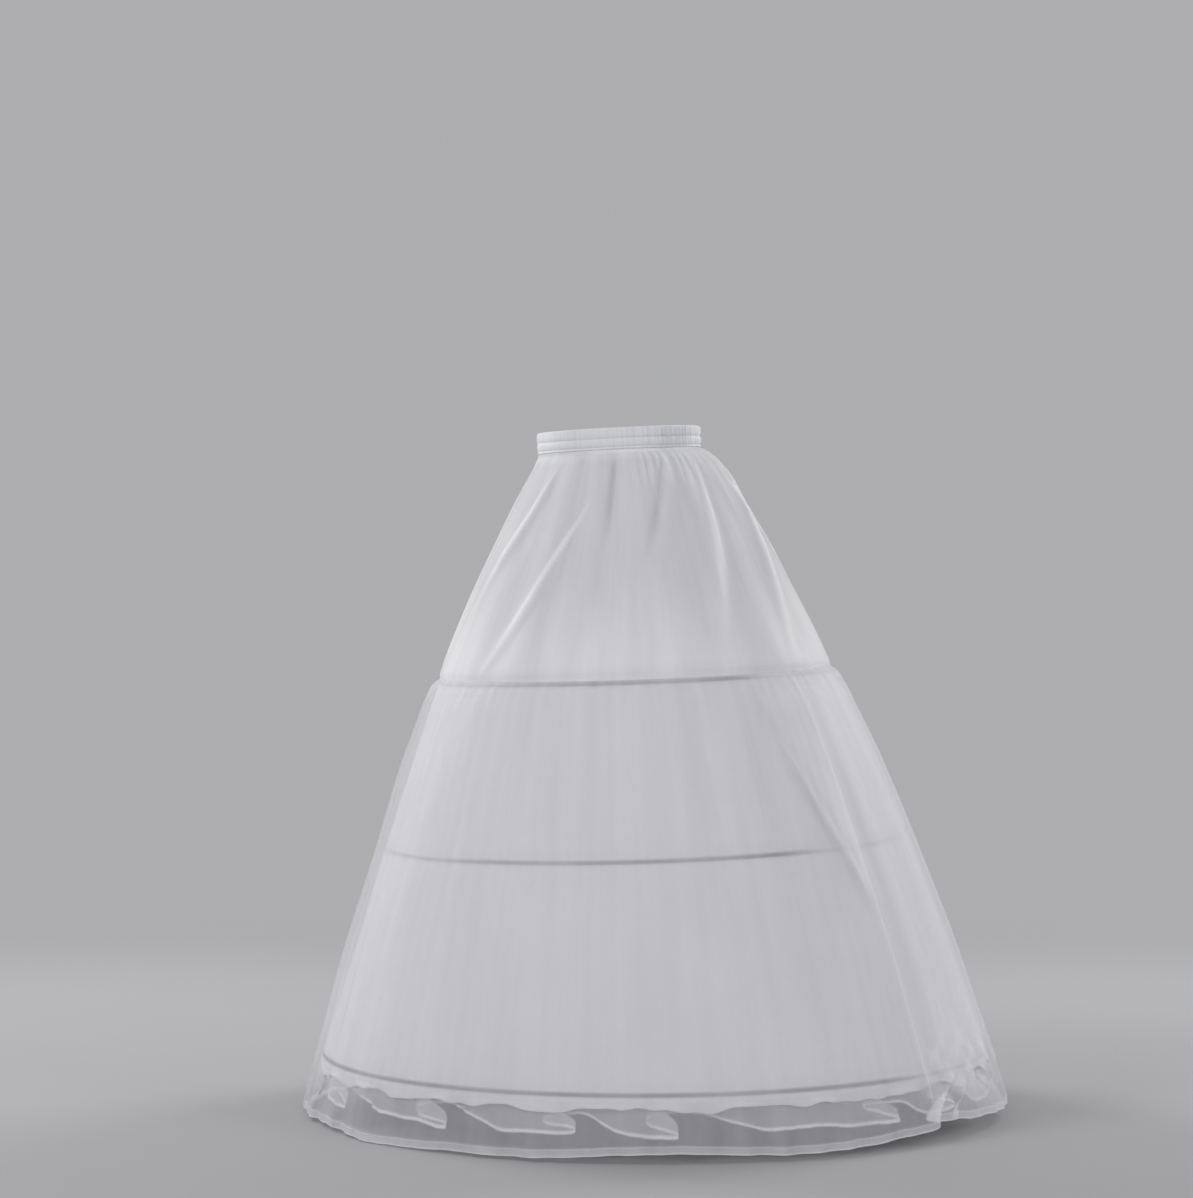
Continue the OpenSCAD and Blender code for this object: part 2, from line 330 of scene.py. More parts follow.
# %% Patterns
def new_finish(name, **constants):
    """A material, its principled shader with constants set, and a Wire to build with."""
    material = bpy.data.materials.new(name)
    material.use_nodes = True
    shader = material.node_tree.nodes["Principled BSDF"]
    for key, value in constants.items():
        shader.inputs[key.replace("_", " ")].default_value = value
    print("finish:", name)
    return material, shader, Wire(material.node_tree)


def cloth_place(wire):
    """Metres round and metres down the cloth, from its own UV map."""
    place = wire.node("ShaderNodeUVMap", {"uv_map": "cloth"})
    around = wire.node("ShaderNodeSeparateXYZ", inputs={0: place})
    return around, around.beside(1)


def object_place(wire):
    return wire.node("ShaderNodeTexCoord", output="Object")


def noise(place, scale, detail):
    return place.node("ShaderNodeTexNoise", inputs={"Vector": place, "Scale": scale, "Detail": detail})


def streaks(around, down, detail=3.0):
    """Noise drawn out along the cloth, as uneven threads show."""
    spread = around.node("ShaderNodeCombineXYZ", inputs={0: around, 1: down})
    return spread.node(
        "ShaderNodeTexNoise", {"noise_dimensions": "2D"},
        {"Vector": spread, "Scale": 1.0, "Detail": detail, "Roughness": 0.55},
    )


def ribs(along, pitch):
    """Even ribs from 0 to 1."""
    return (along * (2 * math.pi / pitch)).sine() * 0.5 + 0.5


def plain_weave(around, down, pitch):
    """Threads over and under, from 0 to 1."""
    turns = 2 * math.pi / pitch
    return (around * turns).sine() * (down * turns).sine() * 0.5 + 0.5


def swing(pattern, size):
    """A pattern from 0 to 1, made to swing about nothing."""
    return (pattern - 0.5) * size


def marked(wire, name):
    return wire.node("ShaderNodeAttribute", {"attribute_name": name}, output="Fac")


def tint(shader, share, dark, light):
    """Colours the shader between two colours, by a share from 0 to 1."""
    ends = {"Factor": share, 6: (*dark, 1.0), 7: (*light, 1.0)}
    share.node("ShaderNodeMix", {"data_type": "RGBA"}, ends, output=2).into(shader, "Base Color")


def bump(shader, height, distance):
    raised = {"Height": height, "Distance": distance, "Strength": 1.0}
    height.node("ShaderNodeBump", inputs=raised).into(shader, "Normal")


def dress(obj, material, nodes):
    """Gives a piece its finish and tells the frame what it is."""
    obj.data.materials.append(material)
    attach(obj, "root")
    if nodes:
        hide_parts(*nodes)
    print(obj.name, "faces:", len(obj.data.polygons), "finish nodes:", len(material.node_tree.nodes))


# %% [markdown]
# ## Stitches
# A machine stitch shows as a short thread with its ends drawn into the cloth. One stitch is a small
# icosphere pulled out along its row, and a row is copies of it. A curve with a bevel would do too,
# but a row needs hundreds of stitches, and twenty faces each are enough. The thread is twisted, and
# the light and shade on its twist are painted into its colour, which changes quickly along it.

# %% Stitches
THREAD_HALF = 0.00022
THREAD_OUT = 0.15
STITCH_SHARE = 0.36

THREAD, shader, wire = new_finish("thread", Roughness=0.5, Sheen_Weight=0.3, Specular_IOR_Level=0.35)
# Painted shade and highlight of the thread's twist, as small patches of darker and lighter colour
twist = noise(object_place(wire), scale=2600.0, detail=1.0)
tint(shader, twist, (0.72, 0.72, 0.76), (0.90, 0.90, 0.93))


def sewn_rows(name, rows):
    """One object with a stitch at each point of each closed row, pointing to the next one."""
    plain = bpy.data.meshes.new("stitch")
    bm = bmesh.new()
    bmesh.ops.create_icosphere(bm, subdivisions=1, radius=1.0)
    bm.to_mesh(plain)
    bm.clear()
    for points in rows:
        for here, there in zip(points, np.roll(points, -1, axis=0)):
            along = Vector(there - here)
            pull = Matrix.Diagonal((STITCH_SHARE * along.length, THREAD_HALF, THREAD_HALF, 1.0))
            aim = along.to_track_quat("X", "Z").to_matrix().to_4x4()
            stitch = plain.copy()
            stitch.transform(Matrix.Translation(here) @ aim @ pull)
            bm.from_mesh(stitch)
            bpy.data.meshes.remove(stitch)
    for face in bm.faces:
        face.smooth = True
    bpy.data.meshes.remove(plain)
    return new_object(name, bm)


def round_turns(count):
    return np.linspace(-180, 180, count, endpoint=False)


# %% [markdown]
# ## Waistband
# The waistband is one strip folded over a flat elastic. Its front is kept smooth, and from the sides
# round to the back the elastic draws it into close upright ridges, which two rows of stitches hold
# down. One could model the ridges as a displaced plane and bend it round. A rolled strip is shorter:
# it goes up the outside, over the fold and down the inside, and only its outer rows get ridges.

# %% Waistband finish
BAND_CLOTH, shader, wire = new_finish(
    "band_cloth", Roughness=0.55, Sheen_Weight=0.3, Sheen_Roughness=0.4, Specular_IOR_Level=0.3,
)
around, down = cloth_place(wire)
threads = plain_weave(around, down, pitch=0.0008)
crowd = streaks(around * 240.0, down * 14.0)
line = marked(wire, "stitch")
tint(shader, crowd - line * 0.5, (0.70, 0.71, 0.75), (0.88, 0.88, 0.90))
(0.5 + crowd * 0.15).into(shader, "Roughness")
bump(shader, threads * 0.5 + crowd * 0.5, 0.0002)

# %% Waistband face
BAND_HEIGHT = 29.5
BAND_OUT = 3.6
UPPER_ROW, LOWER_ROW = -14.5, -26.4
ROW_HALF, ROW_DEPTH = 0.9, 0.45
SHIRR_FROM, SHIRR_TO = 62.0, 84.0
RIDGE_COUNT, RIDGE_HEIGHT = 104, 1.1
SEAM_ROLL = 0.6
UPPER_SWELL, LOWER_SWELL = 0.5, 0.6


def shirr_share(turn):
    """None at the front, full from the sides to the back."""
    return ramp(np.abs(apart(turn, -90.0)), SHIRR_FROM, SHIRR_TO)


def band_pinch(up):
    """1 at a row of stitches, falling to 0 beside it."""
    return np.clip(crest(up, UPPER_ROW, ROW_HALF) + crest(up, LOWER_ROW, ROW_HALF), 0, 1)


def band_face(turn, up):
    """Step out of the band's outer face, with its ridges, stitch grooves and rolled lower seam."""
    uneven = ripple(turn, up, 40, 0.01, 3)
    heights = 0.7 + 0.45 * ripple(turn, up, 26, 0.004, 9)
    ridges = outward_wave(RIDGE_COUNT * turn + 110 * uneven) ** 1.3 * heights
    puff = (1 - 0.75 * band_pinch(up)) * ramp(up, 0.5, -3.0)
    shirr = shirr_share(turn) * puff * (0.4 + RIDGE_HEIGHT * ridges + 0.35 * uneven)
    roll = SEAM_ROLL * crest(up, 0.9 - BAND_HEIGHT, 1.2)
    swell = LOWER_SWELL * bulge(up, LOWER_ROW, UPPER_ROW) + UPPER_SWELL * bulge(up, 0, UPPER_ROW)
    waver = 0.25 * ripple(turn, up, 14, 0.01, 8)
    return BAND_OUT + shirr + roll + swell - ROW_DEPTH * band_pinch(up) + waver


face = band_face(round_turns(720), -20.0)
print("band's face stands out by up to", round(face.max(), 1), "mm")

# %% Waistband cloth
INNER_OUT = 0.5
outer_rows = [
    -BAND_HEIGHT, -28.8, -27.8, -26.9, LOWER_ROW, -25.9, -25.0, -23.0, -21.0, -19.0, -17.0, -15.4,
    UPPER_ROW, -13.6, -12.0, -10.0, -8.0, -6.0, -4.0, -2.0, -1.0,
]
inner_rows = [-1.0, -4.0, -11.0, -18.0, -25.0, -BAND_HEIGHT]
# Step up, step out, and whether the row is on the outside
band_section = [(up, BAND_OUT, 1) for up in outer_rows]
band_section += [(-0.35, BAND_OUT - 0.5, 0), (-0.1, BAND_OUT - 1.5, 0), (-0.1, 2.0, 0), (-0.35, 1.0, 0)]
band_section += [(up, INNER_OUT, 0) for up in inner_rows]
band_ups, band_outs, band_outside = np.array(band_section).T


def lengths_along(ups, outs):
    """How far along a section each of its points lies."""
    return np.cumsum(np.hstack([[0], np.hypot(np.diff(ups), np.diff(outs))]))


band_at = lengths_along(band_ups, band_outs)
waistband, turn, level = rolled_cloth("waistband_cloth", band_at, 720, 0.74)
up = np.interp(level, band_at, band_ups)
outside = np.interp(level, band_at, band_outside)
out = np.where(outside > 0.5, band_face(turn, up), np.interp(level, band_at, band_outs))
move_to_rings(waistband, same_ring(WAIST, len(turn)), turn, out, up)
mark(waistband, "stitch", outside * band_pinch(up))
dress(waistband, BAND_CLOTH, ["waistband"])

# %% Waistband stitches
BAND_STITCHES = 240
row_turns = round_turns(BAND_STITCHES)
band_rows = []
for row in (UPPER_ROW, LOWER_ROW):
    row_out = band_face(row_turns, row) + THREAD_OUT
    band_rows.append(ring_points(same_ring(WAIST, BAND_STITCHES), row_turns, row_out, row))
band_stitches = sewn_rows("waistband_stitches", band_rows)
dress(band_stitches, THREAD, [])

# %% [markdown]
# ## Upper skirt
# From the waist to the first hoop hangs one thin layer, so thin that a little shows through it. It is
# smooth in front, with a few long drag lines, and closely gathered from the sides to the back, where
# most gathers die out about a third of the way down. Each gather is a ridge with its own place, depth
# and length, drawn from a seeded generator. The long folds are given one by one, each by its start and
# its end, because in front they give the skirt its look. Where cloth is pinched into a fold, more
# threads lie behind each other, so the folds also leave a crease mark that makes it less see-through.
# The same mark paints the colour: lighter on fold ridges, on gathers and towards the foot, as painted
# light, and darker in fold valleys and between gathers, as painted shade.

# %% Upper skirt finish
UPPER_CLOTH, shader, wire = new_finish(
    "upper_cloth", Roughness=0.6, Sheen_Weight=0.45, Sheen_Roughness=0.4, Specular_IOR_Level=0.25,
)
around, down = cloth_place(wire)
threads = plain_weave(around, down, pitch=0.0009)
crowd = streaks(around * 24.0, down * 3.0)
fine = streaks(around * 260.0, down * 10.0)
crease = marked(wire, "crease")
see = 0.60 + swing(crowd, 0.16) + swing(fine, 0.03) + swing(threads, 0.06) + crease * 0.4
see.into(shader, "Alpha")
# Painted light and shade: the crease mark makes fold ridges, gathers and the foot lighter, and fold valleys
# and the gaps between gathers darker
tint(shader, crowd + crease * 0.5, (0.80, 0.80, 0.83), (0.90, 0.90, 0.92))
bump(shader, threads * 0.9 + fine * 0.1, 0.0001)

# %% Upper skirt rings
BAND_TUCK = 2.5
TUCK_OUT = 2.05
SEAM_UP = 4.4
LINING_OUT = 2.5
NECK = lifted(WAIST, -BAND_HEIGHT - 0.3)
NECK_GROWN = grown(NECK, 2.6)
FOOT = slope_ring(0, LINING_OUT + 0.8, SEAM_UP - 1.0)
SWELL = 11.0
NECK_LEAN = 0.4
UPPER_LENGTH = 340.0

shares = np.hstack([np.linspace(0, 0.3, 30), np.linspace(0.3, 1, 34)[1:]])
upper_levels = np.hstack([[-BAND_TUCK], shares * UPPER_LENGTH])
upper_skirt, turn, level = rolled_cloth("upper_skirt_cloth", upper_levels, 600, 1.5)
tucked = level < 0
share = np.clip(level / UPPER_LENGTH, 0, 1)
rings = between(NECK_GROWN[None, :], FOOT[None, :], share[:, None])
rings[:, :2] += SWELL * np.sqrt(np.clip(4 * share * (1 - share), 0, 1))[:, None]
rings[:, 2] = NECK[2] + (FOOT[2] - NECK[2]) * share ** NECK_LEAN
rings[tucked] = lifted(WAIST, BAND_TUCK - BAND_HEIGHT)
print("rows of the upper skirt:", len(upper_levels))

# %% Gathers
GATHERS_FROM, GATHERS_TO = -30.0, 210.0
GATHER_DEPTH = (2.2, 5.4)
GATHER_REACH = [0.16, 0.22, 0.3, 0.4, 0.75]
GATHER_WIDTH = (1.1, 1.9)
GATHER_LEAN = (-5, 5)
GATHER_STEP = (3.2, 6.4)

gather_draw = random.Random(11)
gathers = np.zeros(len(turn))
gather_turn, gather_count = GATHERS_FROM, 0
while gather_turn < GATHERS_TO:
    depth = gather_draw.uniform(*GATHER_DEPTH)
    reach = gather_draw.choice(GATHER_REACH)
    width = gather_draw.uniform(*GATHER_WIDTH) * (1.5 if reach > 0.5 else 1.0)
    lean = gather_draw.uniform(*GATHER_LEAN)
    fade = ramp(share, 0.0, 0.05) * ramp(share, reach, 0.25 * reach)
    gathers += depth * fade * ridge(turn, gather_turn + lean * share, width * (1 + 1.6 * share))
    gather_turn += gather_draw.uniform(*GATHER_STEP)
    gather_count += 1
print("gathers:", gather_count)

# %% Long folds
# Each row: share and turn where it starts and where it ends, half width there in degrees, height,
# bend, and how closely its threads are pinched, which also paints the fold lighter as painted
# highlight, or darker as painted shade where it is negative, in a valley
LONG_FOLDS = [
    ((0.05, -81), (0.70, -106), (1.7, 4.4), 4.8, 1.0, 1.0),
    ((0.19, -53), (1.08, -87), (1.5, 2.0), 5.0, 0.9, 1.0),
    ((0.01, -43), (0.46, -46), (2.2, 3.4), -7.0, 1.0, -0.55),
    ((0.01, -12), (0.54, -31), (2.0, 3.2), -6.0, 1.0, -0.55),
    ((0.01, 10), (0.90, -5), (2.2, 3.0), 4.6, 0.9, 1.0),
    ((0.01, 50), (1.05, 19), (3.4, 3.8), 5.2, 0.6, 0.8),
    ((0.03, -122), (1.00, -116), (1.8, 2.8), 3.6, 1.0, 0.5),
    ((0.10, -140), (1.08, -126), (1.5, 2.2), 4.0, 1.0, 0.5),
    ((0.05, -158), (0.60, -163), (2.0, 3.0), -5.0, 1.0, -0.4),
    ((0.01, 166), (0.80, 178), (1.9, 3.0), 4.0, 0.8, 0.4),
    ((0.04, 138), (1.05, 149), (1.7, 2.6), 4.2, 0.8, 0.5),
    ((0.01, 127), (0.50, 124), (2.0, 3.0), -5.0, 1.0, -0.4),
    ((0.01, 116), (0.66, 106), (1.9, 3.2), 3.8, 0.8, 0.4),
    ((0.06, 86), (1.05, 93), (1.6, 2.4), 4.2, 0.8, 0.5),
    ((0.01, 66), (0.75, 57), (2.0, 3.2), 3.8, 0.8, 0.4),
]
VALLEY_BESIDE = 0.4

folds = np.zeros(len(turn))
fold_creases_and_shading = np.zeros(len(turn))
for (start, top), (end, foot), (thin, wide), height, bend, pinch in LONG_FOLDS:
    along = np.clip((share - start) / (end - start), 0, 1)
    strength = ramp(along, 0, 0.22) * ramp(along, 1.0, 0.5)
    place = top + (foot - top) * along ** bend
    width = thin + (wide - thin) * along
    beside = VALLEY_BESIDE * ridge(turn, place + 2.1 * width, 1.6 * width)
    folds += height * strength * (ridge(turn, place, width) - beside)
    # Crease mark of each fold, which also paints it: lighter on a ridge, darker in a valley as painted shade
    fold_creases_and_shading += pinch * strength * ridge(turn, place, 0.6 * width)
print("long folds:", len(LONG_FOLDS), "from", round(folds.min(), 1), "to", round(folds.max(), 1), "mm")

# %% Upper skirt cloth
soft = 1.5 * ripple(turn, level, 16, 0.002, 21) * ramp(share, 0.05, 0.3) * ramp(share, 1.0, 0.85)
out = np.where(tucked, TUCK_OUT, gathers + folds + soft + 0.5 * (1 - share))
move_to_rings(upper_skirt, rings, turn, out)

gathered = shirr_share(turn) * ramp(share, 0.01, 0.05) * ramp(share, 0.45, 0.15)
# Deep gathers mark creases and paint the cloth lighter; between them it is painted darker, as painted shade
gather_creases_and_shading = 0.12 * (gathers - 1.6) * gathered
heading = 0.35 * (1 - ramp(level, 7, 22 + 3 * ripple(turn, level, 24, 0.0, 22)))
# The foot is less see-through and also painted lighter, as painted light
foot_haze_and_lightening = 0.6 * ramp(share, 0.45, 1.0)
# The crease mark is partly real, for less see-through cloth, and partly painted light and shade in the
# colour
mark(upper_skirt, "crease", np.clip(gather_creases_and_shading + fold_creases_and_shading + heading + foot_haze_and_lightening, -0.5, 1))
dress(upper_skirt, UPPER_CLOTH, ["upper_skirt"])

# %% [markdown]
# ## Casings
# A hoop lies in a casing: a tape sewn by both its edges to the inside of the lining, so that a
# channel is left between them. The tape's edges lie flat, and its middle stands inwards round the
# strip. It could be swept along a circle, but a rolled strip that is moved to a hat-shaped section
# already has the UV map that its ribbed weave needs. Each edge has its groove of stitches.

# %% Casing finish
CASING_TAPE, shader, wire = new_finish(
    "casing_tape", Roughness=0.7, Sheen_Weight=0.25, Specular_IOR_Level=0.25,
)
around, down = cloth_place(wire)
rib = ribs(around, pitch=0.0014)
slub = streaks(around * 60.0, down * 400.0)
line = marked(wire, "stitch")
tint(shader, slub - line * 0.6, (0.62, 0.62, 0.66), (0.82, 0.82, 0.85))
bump(shader, rib, 0.0002)

# %% Casings
CASING_HALF = 8.6
CASING_SEAM = 6.8
EDGE_MIDDLE, EDGE_PUCKER = 7.9, 0.25


def both_sides(half):
    """Distances from a hoop's middle, on both sides of it."""
    half = np.array(half)
    return np.hstack([half, [0.0], -half[::-1]])


TAPE_UP = both_sides([CASING_HALF, 8.0, 7.2, CASING_SEAM, 6.4, 5.6, 5.2, 4.9, 4.5, 3.4, 1.7])
TAPE_OUT = np.interp(
    np.abs(TAPE_UP),
    [0, 3.4, 4.5, 4.9, 5.2, 5.6, 6.4, CASING_SEAM, 7.2, CASING_HALF],
    [-2.6, -2.5, -2.35, -1.4, 0.3, 1.2, 1.3, 1.0, 1.3, 1.3],
)
TAPE_AT = lengths_along(TAPE_UP, TAPE_OUT)

for hoop, name in enumerate(("upper", "middle", "lower")):
    girth = 2 * math.pi * HOOPS[hoop][0] * MM
    tape, turn, level = rolled_cloth(f"{name}_casing_tape", TAPE_AT, 300, girth)
    knots = [(at, slope_ring(hoop, out, up)) for at, out, up in zip(TAPE_AT, TAPE_OUT, TAPE_UP)]
    from_middle = np.interp(level, TAPE_AT, np.abs(TAPE_UP))
    waves = outward_wave(150 * turn + 90 * ripple(turn, level, 40, 0.0, 5 + hoop))
    pucker = -EDGE_PUCKER * crest(from_middle, EDGE_MIDDLE, 1.0) * waves
    move_to_rings(tape, rings_at(knots, level), turn, pucker)
    mark(tape, "stitch", crest(from_middle, CASING_SEAM, 0.35))
    dress(tape, CASING_TAPE, [f"{name}_casing"])

# %% [markdown]
# ## Lining
# The lining is the skirt that the hoops hold out. It is closed and matt, and cut to fit, so it runs
# nearly straight from hoop to hoop. Each strip shows as a narrow raised line that looks darker, since
# the steel just behind the cloth keeps light from coming through it, and it shows more plainly at some
# turns than at others, where less cloth lies over it. The raised line is real, and its darkness is
# painted shade, a mark at the vertices. Rows
# crowd at the hoops, where the line and its puckers need them. One seam runs down the lining, and
# below the last hoop its free edge hangs in shallow waves.

# %% Lining finish
LINING_CLOTH, shader, wire = new_finish(
    "lining_cloth", Roughness=0.72, Sheen_Weight=0.25, Sheen_Roughness=0.5, Specular_IOR_Level=0.25,
)
around, down = cloth_place(wire)
threads = plain_weave(around, down, pitch=0.0008)
slub = streaks(around * 7.0, down * 160.0)
cloud = streaks(around * 9.0, down * 7.0)
# Painted shade: the hoop mark darkens the cloth towards the dark colour where the steel keeps light from
# coming through; cloud and slub only vary its tone
shade = (1 - marked(wire, "hoop") * (0.6 + cloud * 0.4)) * (0.90 + cloud * 0.12 + slub * 0.04)
tint(shader, shade, (0.10, 0.10, 0.13), (0.74, 0.74, 0.77))
(0.66 + slub * 0.12).into(shader, "Roughness")
bump(shader, threads * 0.6 + slub * 0.4, 0.0001)

# %% Lining rows
HOOP_UPS = both_sides([CASING_HALF, 7.4, CASING_SEAM, 6.2, 5.0, 3.8, 3.0, 2.2, 1.1])
TIER_ROWS = 22
FLAP_ROWS = 8
LINING_HEM = 10.0
FLAP_IN = 4.0

lining_knots, hoop_level = [], []
level_now = 0.0
for hoop in range(3):
    hoop_level.append(level_now + CASING_HALF)
    for up in HOOP_UPS:
        lining_knots.append((level_now + CASING_HALF - up, slope_ring(hoop, LINING_OUT, up)))
    level_now, start = lining_knots[-1]
    if hoop < 2:
        end = slope_ring(hoop + 1, LINING_OUT, CASING_HALF)
        span = math.hypot(end[0] - start[0], end[3] - start[3])
        for step in range(1, TIER_ROWS):
            lining_knots.append((level_now + span * step / TIER_ROWS, between(start, end, step / TIER_ROWS)))
        level_now += span
flap_top = level_now
for step in range(1, FLAP_ROWS + 1):
    drop = LINING_HEM * step / FLAP_ROWS
    flap_ring = slope_ring(2, LINING_OUT - FLAP_IN * (step / FLAP_ROWS), -CASING_HALF - drop)
    lining_knots.append((flap_top + drop, flap_ring))
LINING_LENGTH = lining_knots[-1][0]
print("lining's length down the slope:", round(LINING_LENGTH), "mm, hoops at", np.round(hoop_level))

# %% Lining cloth
LINING_SEAM_TURN = -44.5
STRIP_PRESS, SEAM_DRAW, PUCKER, SEAM_RISE, LINING_WAVE = 0.9, 0.3, 0.4, 0.7, 0.9


def off_hoop(level):
    """Distance down the cloth from the nearest hoop."""
    return np.min([np.abs(level - at) for at in hoop_level], axis=0)


def lining_face(turn, level):
    """Step out of the lining: pressed out by the strips, drawn in at the seams, puckered beside them."""
    off = off_hoop(level)
    press = STRIP_PRESS * crest(off, 0, 2.6, power=4) - SEAM_DRAW * crest(off, CASING_SEAM, 0.8)
    pucker = PUCKER * crest(off, 10.0, 7.0) * ripple(turn, level, 170, 0.01, 2)
    seam = SEAM_RISE * ridge(turn, LINING_SEAM_TURN, 0.7)
    return press + pucker + seam + LINING_WAVE * ramp(off, 8, 60) * ripple(turn, level, 22, 0.003, 6)


lining, turn, level = rolled_cloth("lining_cloth", [k[0] for k in lining_knots], 540, 2.9)
flap = ramp(level, flap_top, LINING_LENGTH)
scallop = ripple(turn, level, 22, 0.0, 15) + 0.3 * ripple(turn, level, 64, 0.0, 16)
wave = 2.2 * flap * np.clip(1 + ripple(turn, level, 44, 0.0, 12), 0, None)
out = lining_face(turn, level) + wave
move_to_rings(lining, rings_at(lining_knots, level), turn, out, -5.0 * flap * scallop)
print("free edge waves by", round(np.ptp(5.0 * scallop)), "mm")

# %% Lines of the hoops
# How dark the painted shade of the two upper strips and of the last one is at each turn
SHOWS_AT = [-180, -125, -102, -85, -72, -45, -15, -4, 7, 16, 55, 95]
UPPER_SHOWS = [0.62, 0.50, 0.25, 0.45, 0.66, 0.80, 1.0, 1.0, 0.22, 0.2, 0.25, 0.60]
LAST_SHOWS = [0.90, 0.90, 0.95, 1.0, 1.0, 1.0, 1.0, 1.0, 0.95, 0.30, 0.30, 0.85]
LINE_HALF = 3.4

upper_shows = np.interp(turn, SHOWS_AT, UPPER_SHOWS, period=360)
last_shows = np.interp(turn, SHOWS_AT, LAST_SHOWS, period=360)
shows = np.where(level > (hoop_level[1] + hoop_level[2]) / 2, last_shows, upper_shows)
shows = np.clip(shows + 0.1 * ripple(turn, level, 9, 0.0005, 13), 0, 1)
at_first_hoop = 0.08 + crest(level, hoop_level[0], 6.5, power=4)
seam_tick = 0.5 * ridge(turn, LINING_SEAM_TURN, 0.6) * at_first_hoop
# The hoop mark is painted shade where the steel strips keep light from coming through, with a dark tick
# along the lining's seam, strongest at the first hoop
mark(lining, "hoop", np.clip(shows * crest(off_hoop(level), 0, LINE_HALF, power=3) + seam_tick, 0, 1))
dress(lining, LINING_CLOTH, ["lining"])

# %% Casing stitches
STITCH_PITCH = 3.4

casing_rows = []
for hoop, at in enumerate(hoop_level):
    count = round(2 * math.pi * HOOPS[hoop][0] / STITCH_PITCH)
    row_turns = round_turns(count)
    for row in (at - CASING_SEAM, at + CASING_SEAM):
        levels = np.full(count, row)
        row_out = lining_face(row_turns, levels) + THREAD_OUT
        casing_rows.append(ring_points(rings_at(lining_knots, levels), row_turns, row_out))
casing_stitches = sewn_rows("casing_stitches", casing_rows)
dress(casing_stitches, THREAD, [])

# %% [markdown]
# ## Overskirt
# Over the lining hangs a skirt of organza, an open weave of stiff bright threads: most of it is holes,
# so its finish is mostly see-through, with drawn-out streaks where the threads crowd. It is sewn on at
# the first hoop, puffs out a little below the seam and stands a finger's breadth off the lining. Its
# hem is turned up once and reads as a brighter band. The turned edge is real here: the rows go down to
# the hem and a little way up again inside it.
#
# On one side the cloth isn't smooth. A drag fold runs slantwise into the side seam, behind it the
# cloth is fuller and hazier, it is crumpled at the last hoop, and at the hem the seam draws it into a
# small bunch. Dropped cloth would give other folds each time, so each of these has its own curve.

# %% Organza finish
def organza_finish(name, veil, crease_gain):
    material, shader, wire = new_finish(
        name, Roughness=0.5, Sheen_Weight=0.6, Sheen_Roughness=0.35, Specular_IOR_Level=0.3,
    )
    around, down = cloth_place(wire)
    threads = plain_weave(around, down, pitch=0.0011)
    crowd = streaks(around * 26.0, down * 1.6, detail=1.0)
    fine = streaks(around * 300.0, down * 12.0)
    crease = marked(wire, "crease")
    see = veil + swing(crowd, 0.09) + swing(fine, 0.02) + swing(threads, 0.06) + crease * crease_gain
    see.into(shader, "Alpha")
    tint(shader, crowd, (0.885, 0.88, 0.925), (0.955, 0.95, 0.975))
    bump(shader, threads * 0.9 + fine * 0.1, 0.0001)
    return material


OVERSKIRT_ORGANZA = organza_finish("overskirt_organza", veil=0.32, crease_gain=0.40)

# %% Overskirt rings
OVERSKIRT_OUT = 4.1
EASE = 8.0
SHOULDER_UP = -CASING_HALF - 8.0
HEM_TURN = 11.0
TIER_SWELL = 4.0
CORNER_REACH = 26.0

over_top = slope_ring(0, OVERSKIRT_OUT, SEAM_UP)
over_shoulder = slope_ring(0, OVERSKIRT_OUT + EASE + 1, SHOULDER_UP)
over_middle = slope_ring(1, OVERSKIRT_OUT + EASE, 0)
over_foot = slope_ring(2, OVERSKIRT_OUT + EASE - 3, 0)
# Each ring down the overskirt, with the share of the flutes' depth there
over_chain = [
    (over_top, 0.0),
    (over_shoulder, 0.25),
    (grown(between(over_shoulder, over_middle, 0.5), TIER_SWELL), 0.3),
    (over_middle, 0.35),
    (grown(between(over_middle, over_foot, 0.5), TIER_SWELL), 0.45),
    (over_foot, 0.5),
    (lifted(HEM, HEM_TURN), 0.9),
    (HEM, 1.0),
]
over_rings = np.array([ring for ring, _ in over_chain])
over_shares = [share for _, share in over_chain]
over_at = lengths_along(over_rings[:, 3], over_rings[:, 0])
over_knots = list(zip(over_at, over_rings))
OVER_LENGTH = over_at[-1]


def eased_rings(level):
    """The overskirt's rings, with the corners between its knots rounded."""
    reach = np.minimum(CORNER_REACH, np.minimum(level, OVER_LENGTH - level))
    steps = np.linspace(-1, 1, 7)
    near = [np.clip(level + step * reach, 0, OVER_LENGTH) for step in steps]
    return sum(rings_at(over_knots, n) for n in near) / len(steps)


print("overskirt's length down the slope:", round(OVER_LENGTH), "mm")

# %% Folds at the overskirt's side
SEAM_TURN = 15.5
# Level and turn where the drag fold starts and where it runs into the seam
DRAG_START, DRAG_END = (60.0, -1.5), (350.0, SEAM_TURN)
DRAG_BEND = 0.8


def drag_turn(level):
    share = np.clip((level - DRAG_START[0]) / (DRAG_END[0] - DRAG_START[0]), 0, 1)
    return DRAG_START[1] + (DRAG_END[1] - DRAG_START[1]) * share ** DRAG_BEND


def drag_share(level):
    """How deep the drag fold is at a level, from 0 to 1."""
    begins, ends = DRAG_START[0], DRAG_END[0]
    return ramp(level, begins, begins + 150) * ramp(level, ends, ends - 60)


def side_crumple(turn, level):
    """How crushed the cloth is past the seam, at the last hoop."""
    above = OVER_LENGTH - level
    return ramp(turn, 13, 19) * ramp(turn, 75, 50) * ramp(above, 135, 95) * ramp(above, 40, 70)


def crumples(turn, level):
    return ripple(turn, level, 60, 0.022, 40)


halfway = (DRAG_START[0] + DRAG_END[0]) / 2
print("drag fold halfway down lies at turn", round(drag_turn(halfway), 1))

# %% Bunch at the hem
BUNCH_REACH = 82.0
BUNCH_HALF = 3.4
BUNCH_SLANT = 10.0
BUNCH_LIFT = 13.0
